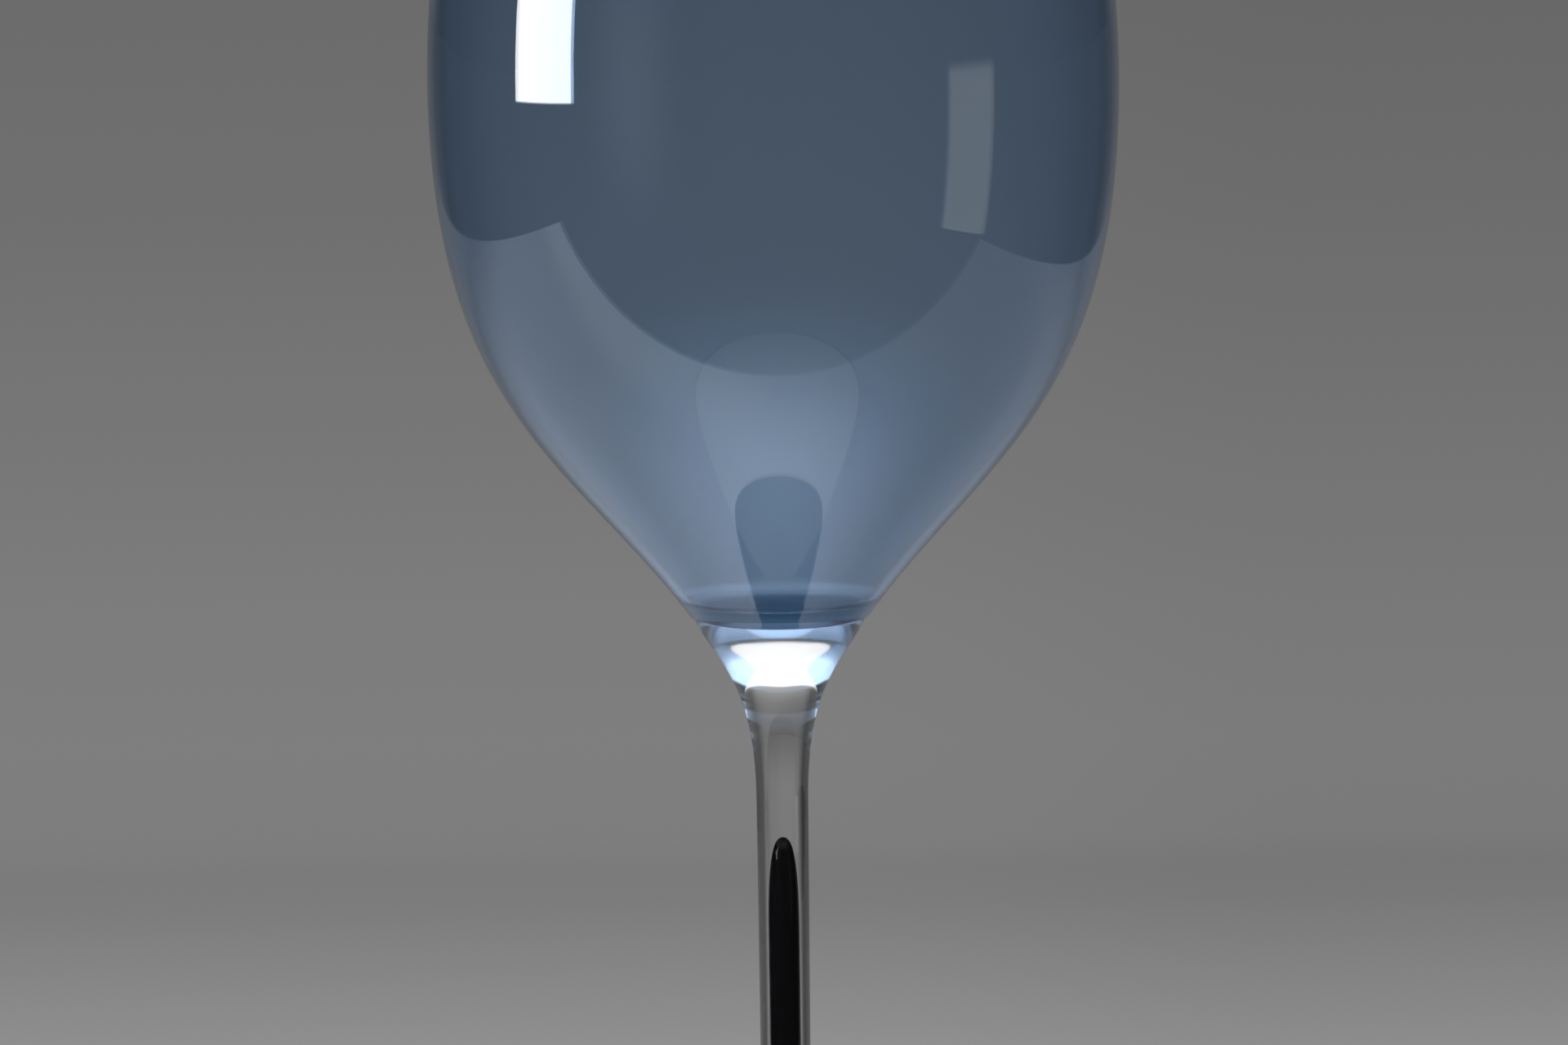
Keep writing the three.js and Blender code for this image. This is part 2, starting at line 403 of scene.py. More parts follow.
def foot_outline():
    """The lifted underside, the resting ring, the round rim, and the crown up to the stem."""
    ring_outer = (FOOT_RADIUS - FOOT_EDGE / 2, foot_low.z)
    ring_inner = (ring_outer[0] - FOOT_RING_WIDTH, foot_low.z)
    rim_top = (ring_outer[0], foot_low.z + FOOT_EDGE)
    crown = (STEM_BASE_RADIUS, FOOT_TOP_Z)
    hollow = sweep(
        (0, foot_low.z + FOOT_HOLLOW), (1, 0), HOLLOW_REACHES[0] * ring_inner[0],
        ring_inner, (-1, 0), HOLLOW_REACHES[1] * ring_inner[0], count=40)
    rim = half_round(ring_outer, rim_top, (1, 0), count=16)
    span = rim_top[0] - crown[0]
    top = sweep(
        rim_top, along(RIM_SLOPE), CROWN_REACHES[0] * span,
        crown, along(CROWN_SLOPE, -1), CROWN_REACHES[1] * span, count=64)
    return joined(hollow, [ring_outer], rim, top, straight(crown, (0, FOOT_TOP_Z), count=6))[0]


foot = turned("foot_glass", foot_outline(), {})

# %% [markdown]
# ## Glass
# Clear and tinted glass use the Principled shader with full transmission. The tint could be an
# absorption in the body of the glass, but this bowl is clear glass with a thin blue-grey skin, so
# the tint is the base colour of the outside, taken once at each crossing and deeper on a slant.
# Where glass is fused to glass there is no surface to see, so those faces only let light pass
# straight on into the next piece. A finish is a tree of nodes. Nodes could be added one by one, but
# small helpers that add a node and give back its result read like sums.

# %% Materials and nodes
def new_material(name):
    """An empty node material, its node tree and its output node."""
    material = bpy.data.materials.new(name)
    material.use_nodes = True
    tree = material.node_tree
    tree.nodes.clear()
    output = tree.nodes.new("ShaderNodeOutputMaterial")
    return material, tree, output


def add(tree, kind, inputs=(), **properties):
    """Adds a node, sets its properties, and sets or links its inputs, given as (name or number, value)."""
    node = tree.nodes.new(kind)
    for key, value in properties.items():
        setattr(node, key, value)
    for key, value in inputs:
        if isinstance(value, bpy.types.NodeSocket):
            tree.links.new(value, node.inputs[key])
        else:
            node.inputs[key].default_value = value
    return node


print("materials start from", new_material.__name__, "and grow by", add.__name__)

# %% Sums and mixtures
MIX_FIRST, MIX_SECOND, MIX_RESULT = 6, 7, 2


def step(tree, operation, first, second=0.0):
    """One arithmetic step on one or two numbers or sockets."""
    return add(tree, "ShaderNodeMath", [(0, first), (1, second)], operation=operation).outputs[0]


def product(tree, first, *others):
    """The product of two or more numbers or sockets."""
    for other in others:
        first = step(tree, "MULTIPLY", first, other)
    return first


def rest(tree, share):
    """What is left of 1 when a share is taken off it."""
    return step(tree, "SUBTRACT", 1.0, share)


def ease(tree, source, start, end, first, last, curve="SMOOTHSTEP"):
    """A number that goes from first to last, smoothly by default, as the source goes from start to end."""
    return add(tree, "ShaderNodeMapRange", [
        ("Value", source), ("From Min", start), ("From Max", end), ("To Min", first), ("To Max", last),
    ], interpolation_type=curve).outputs["Result"]


def choose(tree, share, first, second):
    """The first number where the share is 0, the second where it is 1, and an eased mix between."""
    return ease(tree, share, 0.0, 1.0, first, second)


def blend(tree, share, first, second):
    """The same for two colours, each a socket or (red, green, blue)."""
    ends = [end if isinstance(end, bpy.types.NodeSocket) else (*end, 1) for end in (first, second)]
    return add(tree, "ShaderNodeMix", [
        ("Factor", share), (MIX_FIRST, ends[0]), (MIX_SECOND, ends[1]),
    ], data_type="RGBA").outputs[MIX_RESULT]


def cover_with(tree, share, under, over):
    """The shader under, of which a share is covered by the shader over."""
    return add(tree, "ShaderNodeMixShader", [(0, share), (1, under), (2, over)]).outputs[0]


print("a Mix node takes colours at inputs", MIX_FIRST, "and", MIX_SECOND)

# %% Reading the surface
STREAK_DETAIL = 3


def object_place(tree):
    """The place on the piece, in the frame's metres."""
    return add(tree, "ShaderNodeTexCoord").outputs["Object"]


def mark(tree, name):
    """A mark that was left on a mesh, or 0 on a mesh that doesn't have it."""
    return add(tree, "ShaderNodeAttribute", attribute_name=name).outputs["Fac"]


def from_glass(tree):
    """1 where light meets the surface from inside the glass, and 0 from the air."""
    return add(tree, "ShaderNodeNewGeometry").outputs["Backfacing"]


def streaks(tree, scale, stretch):
    """Noise on Object coordinates, stretched along the axis, as glass drawn upwards has it."""
    drawn = add(tree, "ShaderNodeMapping", [("Vector", object_place(tree)), ("Scale", (1, 1, stretch))])
    return add(tree, "ShaderNodeTexNoise", [
        ("Vector", drawn.outputs[0]), ("Scale", scale), ("Detail", STREAK_DETAIL),
    ]).outputs["Fac"]


def grey(level):
    """A colour with three equal channels."""
    return (level,) * 3


def ramp(tree, source, stops):
    """A colour ramp through stops of (position, colour)."""
    node = add(tree, "ShaderNodeValToRGB", [("Fac", source)])
    elements = node.color_ramp.elements
    elements[0].position, elements[-1].position = stops[0][0], stops[-1][0]
    for position, _ in stops[1:-1]:
        elements.new(position)
    for element, (_, colour) in zip(elements, stops):
        element.color = (*colour, 1)
    return node.outputs["Color"]


print("marks on the bowl:", ", ".join(bowl_marks(outline, owner)))

# %% [markdown]
# ### A skin seen on a slant
# A thin coloured skin looks deeper near the outline of a bowl, because light crosses it on a slant
# there. A modeller could darken the border by hand. Here the way through the skin is worked out
# from the angle at which light meets it and from the bending of light in glass.

# %% Angle and slant
GLASS_IOR = 1.5
EVEN_BLEND = 0.5
LEAST_COSINE = 0.001


def facing(tree):
    """|cosine| between the surface and a ray that meets it. Layer Weight's facing is 1 - |cosine|."""
    weight = add(tree, "ShaderNodeLayerWeight", [("Blend", EVEN_BLEND)])
    return step(tree, "MAXIMUM", rest(tree, weight.outputs["Facing"]), LEAST_COSINE)


def slant(tree):
    """How much longer a slanted way through a skin is than a straight one: 1 / cosine inside the glass. From
    the air the sine is first divided by the refractive index, and from the glass it is already inside."""
    cosine = facing(tree)
    sine_squared = rest(tree, step(tree, "POWER", cosine, 2))
    bent = step(tree, "SQRT", rest(tree, step(tree, "DIVIDE", sine_squared, GLASS_IOR**2)))
    return step(tree, "DIVIDE", 1.0, choose(tree, from_glass(tree), bent, cosine))


print("at the outline the skin is", round(1 / math.sqrt(1 - 1 / GLASS_IOR**2), 2), "times as deep")

# %% [markdown]
# ### Veil and film
# Fine bubbles gather round the edge where the bowl was stuck to the stem. On the floor of the hollow
# lies a film of painted shade, darker seen from the glass than from the air. Both could be separate
# thin pieces. They are a share of the surface that scatters light instead, because they lie in the
# skin of the glass itself.

# %% Veil and film
VEIL_DEPTH, FILM_DEPTH = 1.2, 0.8
HEEL_DENSITY = 6.0
# Painted shade: the film's colours stand in for shade, darker seen from inside the glass than from the air.
SHADE_FILM_ABOVE, SHADE_FILM_BELOW = (0.36, 0.5, 0.6), (0.11, 0.2, 0.28)
BUBBLE_SCALE, BUBBLE_DETAIL = 900, 2
BUBBLE_COLOURS = [(0.3, (0.58, 0.77, 0.97)), (0.7, (0.66, 0.83, 1.0))]
BACK_SHARE = 0.1


def haze_cover(tree):
    """The share that the veil and the film of painted shade hide. A film of a depth hides 1 - exp(-depth /
    |cosine|) of what is behind it, so it is clear when looked through and dense at a glancing angle. From the
    air only the film counts, and from the glass the veil and the film on the heel, which is denser there."""
    inside = from_glass(tree)
    veil = product(tree, mark(tree, "veil"), inside, VEIL_DEPTH)
    heel = step(tree, "MULTIPLY", mark(tree, "heel_film"), HEEL_DENSITY)
    film = step(tree, "MULTIPLY", choose(tree, inside, mark(tree, "film"), heel), FILM_DEPTH)
    depth = step(tree, "ADD", veil, film)
    return rest(tree, step(tree, "POWER", math.exp(-1), step(tree, "DIVIDE", depth, facing(tree))))


def haze_glow(tree):
    """The scattered light: most of it goes on through, and a small share comes back. The bubbles are pale,
    and the film has the darker colours of painted shade.
    """
    bubbles = add(tree, "ShaderNodeTexNoise", [
        ("Vector", object_place(tree)), ("Scale", BUBBLE_SCALE), ("Detail", BUBBLE_DETAIL),
    ]).outputs["Fac"]
    bright = ramp(tree, bubbles, BUBBLE_COLOURS)
    # Painted shade: the film's colour, darker from the glass side than from the air.
    shade_film_colour = blend(tree, from_glass(tree), SHADE_FILM_ABOVE, SHADE_FILM_BELOW)
    colour = blend(tree, step(tree, "GREATER_THAN", mark(tree, "film"), 0), bright, shade_film_colour)
    through = add(tree, "ShaderNodeBsdfTranslucent", [("Color", colour)]).outputs[0]
    back = add(tree, "ShaderNodeBsdfDiffuse", [("Color", colour)]).outputs[0]
    return cover_with(tree, BACK_SHARE, through, back)


print("looked straight through, the full film hides", round(1 - math.exp(-FILM_DEPTH), 2), "of the light")

# %% [markdown]
# ### Clear and tinted glass
# One recipe makes both. Drawn glass is never quite even, so the tint and the surface carry faint
# upright streaks. The flare of the stem was worked longest and is a little soft, and the rest is
# polished by the fire. Roughness could be one number, but the soft place has an end.

# %% Wavy glass that can be fused
WAVE_SCALE, WAVE_STRETCH = 35, 0.4


def wavy_glass(tree, colour, colour_straight_on, wave_height, roughness):
    """Glass with faint waves, whose colour is that of two crossings. Where it is fused it has no surface, and
    light goes straight on in the second colour."""
    waves = streaks(tree, WAVE_SCALE, WAVE_STRETCH)
    wavy = add(tree, "ShaderNodeBump", [("Height", waves), ("Distance", wave_height)]).outputs["Normal"]
    surface = add(tree, "ShaderNodeBsdfPrincipled", [
        ("Base Color", colour),
        ("Roughness", roughness),
        ("IOR", GLASS_IOR),
        ("Transmission Weight", 1.0),
        ("Normal", wavy),
    ]).outputs["BSDF"]
    straight_on = add(tree, "ShaderNodeBsdfTransparent", [("Color", colour_straight_on)]).outputs[0]
    return cover_with(tree, mark(tree, "fused"), surface, straight_on)


print("a wave is about", round(MILLIMETRES / WAVE_SCALE), "mm wide")

# %% Skin of the bowl
WHITE = (1, 1, 1)
BOWL_TINT = (0.66, 0.79, 0.95)
STAIN_SCALE, STAIN_STRETCH = 60, 0.15
STAIN_LOW, STAIN_HIGH = 0.3, 0.7
STAIN_PALEST = 0.94


def skin_colour(tree, tint):
    """White where there is no skin, and elsewhere the tint of two crossings, streaked, deeper on a slant."""
    squared = tuple(channel**2 for channel in tint)
    paler = tuple(1 - STAIN_PALEST * (1 - channel) for channel in squared)
    stain = ramp(tree, streaks(tree, STAIN_SCALE, STAIN_STRETCH), [(STAIN_LOW, squared), (STAIN_HIGH, paler)])
    slanted = add(tree, "ShaderNodeGamma", [("Color", stain), ("Gamma", slant(tree))]).outputs[0]
    return blend(tree, mark(tree, "skin"), WHITE, slanted)


print("one wall of the bowl lets through", BOWL_TINT, "of red, green and blue")

# %% Blue-grey glass of the bowl
BOWL_WAVE = 0.00001
FIRE_POLISH = 0.0
ROOT = 0.5


def blue_grey_glass(name):
    """Polished glass with its skin, veil and film. Light that goes straight on takes the root of the colour,
    as the shader does at each crossing."""
    material, tree, output = new_material(name)
    colour = skin_colour(tree, BOWL_TINT)
    once = add(tree, "ShaderNodeGamma", [("Color", colour), ("Gamma", ROOT)]).outputs[0]
    glass = wavy_glass(tree, colour, once, BOWL_WAVE, FIRE_POLISH)
    tree.links.new(cover_with(tree, haze_cover(tree), glass, haze_glow(tree)), output.inputs["Surface"])
    print(name, "has", len(tree.nodes), "nodes")
    return material


bowl.data.materials.append(blue_grey_glass("blue_grey_glass"))

# %% Clear glass of the stem
CLEAR = (*WHITE, 1)
STEM_WAVE = 0.000002
FLARE_ROUGHNESS = 0.1
SOFT_BELOW, FULL_BELOW = 0.011, 0.004


def soft_flare(tree):
    """Roughness that comes up in the flare, where the glass was worked longest and cooled last."""
    height = add(tree, "ShaderNodeSeparateXYZ", [(0, object_place(tree))]).outputs["Z"]
    return ease(tree, height, SEAM_Z - SOFT_BELOW, SEAM_Z - FULL_BELOW, 0.0, FLARE_ROUGHNESS)


def clear_glass(name):
    """Glass without colour, polished below and soft in the flare."""
    material, tree, output = new_material(name)
    glass = wavy_glass(tree, CLEAR, CLEAR, STEM_WAVE, soft_flare(tree))
    tree.links.new(glass, output.inputs["Surface"])
    print(name, "has", len(tree.nodes), "nodes")
    return material


stem.data.materials.append(clear_glass("clear_glass"))

# %% [markdown]
# ### Black glass
# The thread and the foot are glass so dark that no light comes through. A dense volume would do
# that too, and slowly. An opaque near-black body under a clear polish looks the same. The thread
# lies inside the stem with no air round it, so it has almost no shine.

# %% Black glass
BODY_SCALE, BODY_STRETCH = 90, 0.2
BODY_LIGHTEST = 1.5
POLISH_SCALE, POLISH_STRETCH = 40, 1.0
POLISH_ROUGHNESS = [(0.4, grey(0.02)), (0.8, grey(0.06))]
THREAD_BLACK, THREAD_SHINE = (0.003, 0.003, 0.0038), 0.05
FOOT_BLACK, FOOT_SHINE = (0.006, 0.006, 0.007), 0.5


def black_glass(name, colour, shine):
    """Opaque black glass: a near-black body, faintly streaked, with a clear polish."""
    material, tree, output = new_material(name)
    lighter = tuple(BODY_LIGHTEST * channel for channel in colour)
    body = ramp(tree, streaks(tree, BODY_SCALE, BODY_STRETCH), [(STAIN_LOW, colour), (STAIN_HIGH, lighter)])
    polish = ramp(tree, streaks(tree, POLISH_SCALE, POLISH_STRETCH), POLISH_ROUGHNESS)
    shader = add(tree, "ShaderNodeBsdfPrincipled", [
        ("Base Color", body),
        ("Roughness", polish),
        ("Specular IOR Level", shine),
    ])
    tree.links.new(shader.outputs["BSDF"], output.inputs["Surface"])
    print(name, "has", len(tree.nodes), "nodes")
    return material


thread.data.materials.append(black_glass("black_thread_glass", THREAD_BLACK, THREAD_SHINE))
foot.data.materials.append(black_glass("black_foot_glass", FOOT_BLACK, FOOT_SHINE))

# %% [markdown]
# ## Each piece stands for its solid
# The vase has no moving part, so all four pieces ride on the one body. Each takes the place of the
# measured solid that it was made from, and its finish is printed beside it.

# %% Pieces and solids
for piece, node, finish in (
    (bowl, "bowl", "blue_grey_glass"),
    (stem, "stem", "clear_glass"),
    (thread, "stem_thread", "black_thread_glass"),
    (foot, "foot", "black_foot_glass"),
):
    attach(piece, "root")
    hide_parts(node)
    print(piece.name, "stands for", node, "in", finish)

# %% [markdown]
# ## The way that light came
# What the bowl shows is mostly the stage: a table in mirrored light, a dark studio at its borders,
# and a glow that is led through the joint between bowl and stem. Real walls and lamps could be set
# up for each, but they would show in the open view too. Here the stage asks the light path which
# way the light came. Depths are whole numbers, so each limit lies half way between two of them.

# %% Mirrored and led light
MIRRORED_ONCE, MIRRORED_TWICE = 0.5, 1.5
BOTH_FUSED_FACES = 1.5


def light_path(tree):
    """Blender's record of how light came from here to the eye."""
    return add(tree, "ShaderNodeLightPath").outputs


def mirrors(tree):
    """1 for light that goes from here straight to glass and is mirrored by glass on its way to the eye."""
    path = light_path(tree)
    kinds = step(tree, "MAXIMUM", path["Is Glossy Ray"], path["Is Transmission Ray"])
    glass = step(tree, "MAXIMUM", kinds, path["Is Singular Ray"])
    return step(tree, "MULTIPLY", glass, step(tree, "GREATER_THAN", path["Glossy Depth"], MIRRORED_ONCE))


def crosses_joint(tree):
    """1 for light that has gone straight through both fused faces of the joint under the bowl."""
    return step(tree, "GREATER_THAN", light_path(tree)["Transparent Depth"], BOTH_FUSED_FACES)


def mirrored_paths(tree):
    """1 for light that a wall of the bowl has mirrored to the eye without crossing the joint."""
    return step(tree, "MULTIPLY", mirrors(tree), rest(tree, crosses_joint(tree)))


print("light through the joint has a transparent depth over", BOTH_FUSED_FACES)

# %% Bent light and the open view
PAST_ONE_WALL = 2.5
BEHIND_COSINES = (0.77, 0.97)


def bent_by_one_wall(tree):
    """1 for light that glass has bent at two faces at most, as at the borders of the bowl and in the stem."""
    path = light_path(tree)
    few = step(tree, "LESS_THAN", path["Transmission Depth"], PAST_ONE_WALL)
    return step(tree, "MULTIPLY", path["Is Transmission Ray"], few)


def open_view(tree):
    """1 for what the eye sees past the vase or through both walls of the bowl."""
    path = light_path(tree)
    many = step(tree, "GREATER_THAN", path["Transmission Depth"], PAST_ONE_WALL)
    unmixed = rest(tree, step(tree, "MAXIMUM", mirrored_paths(tree), crosses_joint(tree)))
    walls = product(tree, path["Is Transmission Ray"], many, unmixed)
    return step(tree, "MAXIMUM", path["Is Camera Ray"], walls)


def straight_behind(tree, x, y):
    """1 straight behind the vase, falling smoothly to 0 at forty degrees to either side."""
    span = step(tree, "SQRT", step(tree, "ADD", step(tree, "POWER", x, 2), step(tree, "POWER", y, 2)))
    return ease(tree, step(tree, "DIVIDE", y, span), *BEHIND_COSINES, 0.0, 1.0)


half_angle = math.degrees(math.acos(BEHIND_COSINES[0]))
print("straight behind reaches", round(half_angle, 1), "degrees to either side")

# %% [markdown]
# ## The floor
# The floor is pale, with a painted pool of light round the vase, and painted shade darkens it far
# behind. A separate table and backdrop would do, but one sheet has no seam to hide. In mirrored
# light it has a table's edges, beyond which painted shade stands for a dark studio: the bowl then
# shows the table as a pale sheet with a round dark foot on it.

# %% Grey of the floor
DOME_LEVEL = 1.185
NEAREST = 0.5
# Painted shade: the floor's grey falls off from the front to far behind the vase, as the light does.
FLOOR_GREYS = [
    (0.0, 0.148), (0.108, 0.152), (0.224, 0.164), (0.34, 0.185), (0.459, 0.206), (0.54, 0.215),
    (0.6, 0.211), (0.62, 0.199), (0.64, 0.205), (0.722, 0.275), (0.8, 0.36), (1.0, 0.5),
]
# Painted light and shade: in mirrored light the table is paler on its left and darker on its right, and in
# the open view the floor is a little darker on the right.
TABLE_LEFT_GAIN, TABLE_RIGHT_GAIN, TABLE_FAR_GAIN = 1.35, 0.71, 0.86
RIGHT_TO_LEFT, NEAR_TO_FAR = (0.22, -0.3), (0.0, 0.8)
RIGHT_SIDE, RIGHT_SIDE_GAIN = (0.0, 0.12), 0.935


def floor_grey(tree, x, y, mirrored):
    """Painted shade: grey by 1 / distance in front of the camera, which is even in the picture, over the
    dome's own level, so the floor darkens far away. The open view has painted shade on the right. Mirrored
    light sees a table with painted light on its left and painted shade on its right, eased to one level far
    behind."""
    near = step(tree, "DIVIDE", 1.0, step(tree, "MAXIMUM", step(tree, "ADD", y, CAMERA_DISTANCE), NEAREST))
    plain = ramp(tree, near, [(at, grey(level / DOME_LEVEL)) for at, level in FLOOR_GREYS])
    seen = ease(tree, step(tree, "MULTIPLY", x, near), *RIGHT_SIDE, 1.0, RIGHT_SIDE_GAIN)
    side = ease(tree, x, *RIGHT_TO_LEFT, TABLE_RIGHT_GAIN, TABLE_LEFT_GAIN)
    table = ease(tree, y, *NEAR_TO_FAR, side, TABLE_FAR_GAIN)
    gain = choose(tree, mirrored, seen, table)
    return add(tree, "ShaderNodeVectorMath", [(0, plain), ("Scale", gain)], operation="SCALE").outputs[0]


print("the floor's grey goes from", FLOOR_GREYS[0][1], "far away to", FLOOR_GREYS[-1][1], "in front")

# %% Light and dark on the floor
# Painted light: a pool of light round the vase added to the floor's colour, and a paler front left border of
# the table in mirrored light.
POOL_MIDDLE = (-0.02, -0.04, 0)
POOL_RADIUS = 0.26
POOL_LEVEL, POOL_SHARE_SEEN = 0.62, 0.3
EDGE_LEVEL = 0.3
EDGE_TO_FRONT, EDGE_TO_LEFT = (-0.05, -0.2), (0.02, -0.15)
TABLE_LEFT, TABLE_RIGHT, TABLE_FRONT = -1.16, 0.93, -0.267


def floor_glow(tree, place, x, y, mirrored):
    """A painted pool of light round the vase, of which the eye sees a share, and painted light on the front
    left border of the table.
    """
    away = add(tree, "ShaderNodeVectorMath", [(0, place), (1, POOL_MIDDLE)], operation="DISTANCE")
    pool = ease(tree, away.outputs["Value"], POOL_RADIUS, 0.0, 0.0, POOL_LEVEL)
    share = choose(tree, light_path(tree)["Is Camera Ray"], 1.0, POOL_SHARE_SEEN)
    front = ease(tree, y, *EDGE_TO_FRONT, 0.0, EDGE_LEVEL)
    left = ease(tree, x, *EDGE_TO_LEFT, 0.0, 1.0)
    return step(tree, "ADD", step(tree, "MULTIPLY", pool, share), product(tree, front, left, mirrored))


def floor_hidden(tree, x, y, mirrored):
    """1 where a painted dark studio takes the floor's place, but never straight behind the vase: beyond the
    table's edges in mirrored light, and everywhere in light that one wall of glass has bent. This is painted
    shade."""
    left, right = step(tree, "LESS_THAN", x, TABLE_LEFT), step(tree, "GREATER_THAN", x, TABLE_RIGHT)
    front = step(tree, "LESS_THAN", y, TABLE_FRONT)
    outside_table = step(tree, "MAXIMUM", step(tree, "MAXIMUM", left, right), front)
    bent = step(tree, "MULTIPLY", bent_by_one_wall(tree), rest(tree, mirrored))
    beyond = step(tree, "MAXIMUM", step(tree, "MULTIPLY", outside_table, mirrored), bent)
    return step(tree, "MULTIPLY", beyond, rest(tree, straight_behind(tree, x, y)))


print("table mirrored from", TABLE_LEFT, "to", TABLE_RIGHT, "m, front edge at", TABLE_FRONT, "m")

# %% Floor
FLOOR_SIZE = 40.0
FLOOR_CORNERS = np.array([[-1, -1, 0], [1, -1, 0], [1, 1, 0], [-1, 1, 0]]) * FLOOR_SIZE / 2
FLOOR_DROP = 0.0001
# Painted shade: beyond the table's edges in mirrored light, and for light bent by one wall, the floor is
# painted as a dark studio.
DARK_STUDIO = 0.03
# Painted shadow: the floor behind the vase, seen through the joint, is an even dark grey.
JOINT_FLOOR_SHADE = 0.19


def stage_sheet(name, corners):
    """A flat sheet with four corners, given in their order round it. It belongs to the stage."""
    mesh = bpy.data.meshes.new(name)
    mesh.from_pydata(corners.tolist(), [], [[0, 1, 2, 3]])
    sheet = bpy.data.objects.new(name, mesh)
    bpy.context.scene.collection.objects.link(sheet)
    return sheet


def floor_material():
    """The painted grey plus the painted pool and edge light, an even dark grey of painted shadow for light
    led through the joint, and the painted dark studio on top.
    """
    material, tree, output = new_material("floor")
    place = object_place(tree)
    split = add(tree, "ShaderNodeSeparateXYZ", [(0, place)]).outputs
    x, y = split["X"], split["Y"]
    mirrored = mirrored_paths(tree)
    plain, glow = floor_grey(tree, x, y, mirrored), floor_glow(tree, place, x, y, mirrored)
    lit = add(tree, "ShaderNodeVectorMath", [(0, plain), (1, glow)], operation="ADD").outputs[0]
    # Painted shadow: light led through the joint sees the floor as an even dark grey.
    top = blend(tree, crosses_joint(tree), lit, grey(JOINT_FLOOR_SHADE))
    colour = blend(tree, floor_hidden(tree, x, y, mirrored), top, grey(DARK_STUDIO))
    shader = add(tree, "ShaderNodeBsdfDiffuse", [("Color", colour)])
    tree.links.new(shader.outputs["BSDF"], output.inputs["Surface"])
    print("floor has", len(tree.nodes), "nodes")
    return material


floor = stage_sheet("floor", FLOOR_CORNERS)
floor.location.z = -FLOOR_DROP
floor.data.materials.append(floor_material())

# %% [markdown]
# ## Light
# One big soft dome lights everything from above, at a level where a colour renders about as it is
# written. Lamps could do the same, but they would leave hard images in the glass. Behind the vase
# the dome comes down low, and its edge is what makes the bright white glow in the glass under the
# bowl.

# %% Light behind the vase
REAR_LEVEL = 1.3
REAR_EDGE = 0.384
REAR_EDGE_RISE = 0.36
REAR_GREYS = [(0.0, 0.155), (0.07, 0.165), (0.21, 0.24), (0.32, 0.36), (0.37, 0.45)]
RISE_ROUND = 0.2
DIM_BELOW, SIDE_SHARE = 0.3, 0.35
FRONT_TO_REAR = (-0.5, -0.1)
JOINT_TOP = 2.0
JOINT_LEVELS = [(0.3, JOINT_TOP), (0.4, JOINT_TOP), (0.48, 1.3), (0.65, 1.0), (0.85, 1.35)]


def rear_light(tree, way, joint, centre):
    """Radiance by height, with a bright part above an edge. The edge rises sideways as sqrt(x^2 + r^2) - r,
    and below it the sides are dimmer than the centre. Light led through the joint sees a level edge, and its
    own radiance by bearing: y runs from -1 in front to 1 behind, and the ramp from 0 to 1."""
    x, y, z = way["X"], way["Y"], way["Z"]
    rounded = step(tree, "SQRT", step(tree, "ADD", step(tree, "POWER", x, 2), RISE_ROUND**2))
    rise = step(tree, "SUBTRACT", rounded, RISE_ROUND)
    tilted = step(tree, "SUBTRACT", z, step(tree, "MULTIPLY", rise, choose(tree, joint, REAR_EDGE_RISE, 0.0)))
    levels = REAR_GREYS + [(REAR_EDGE, REAR_LEVEL), (1.0, REAR_LEVEL)]
    share = ramp(tree, tilted, [(at, grey(level / REAR_LEVEL)) for at, level in levels])
    dim = ease(tree, tilted, DIM_BELOW, REAR_EDGE, choose(tree, centre, SIDE_SHARE, 1.0), 1.0)
    bearing = step(tree, "ADD", step(tree, "MULTIPLY", y, 0.5), 0.5)
    sides = ramp(tree, bearing, [(at, grey(level / JOINT_TOP)) for at, level in JOINT_LEVELS])
    behind = ease(tree, y, *FRONT_TO_REAR, 0.0, 1.0)
    reach = choose(tree, joint, behind, step(tree, "MULTIPLY", sides, JOINT_TOP))
    return product(tree, share, reach, REAR_LEVEL, dim)


print("behind the vase the light steps up at", round(math.degrees(math.asin(REAR_EDGE)), 1), "degrees")

# %% Dome
WORLD_LEVEL = 0.8
DOME_TOP, DOME_FROM = 2.6, 0.5
CEILING_COLOUR = (0.68, 0.87, 1.06)
BACKDROP, PALE_STUDIO, FAR_STUDIO = 0.16, 0.6, 0.235
REAR_TO_SIDE, SIDE_TO_REAR = (0.95, 0.7), (0.0, 0.12)


def low_light(tree, way, joint):
    """The light of the lower dome. Mirrored light sees the backdrop and the dark studio in place of the rear
    light. The open view sees an even studio, paler on the camera's side, except straight behind the vase."""
    y = way["Y"]
    centre = straight_behind(tree, way["X"], y)
    far = choose(tree, centre, DARK_STUDIO, BACKDROP)
    direct = step(tree, "MAXIMUM", rear_light(tree, way, joint, centre), far)
    shown = choose(tree, mirrored_paths(tree), direct, far)
    around = step(tree, "MULTIPLY", open_view(tree), ease(tree, y, *REAR_TO_SIDE, 0.0, 1.0))
    return choose(tree, around, shown, ease(tree, y, *SIDE_TO_REAR, PALE_STUDIO, FAR_STUDIO))


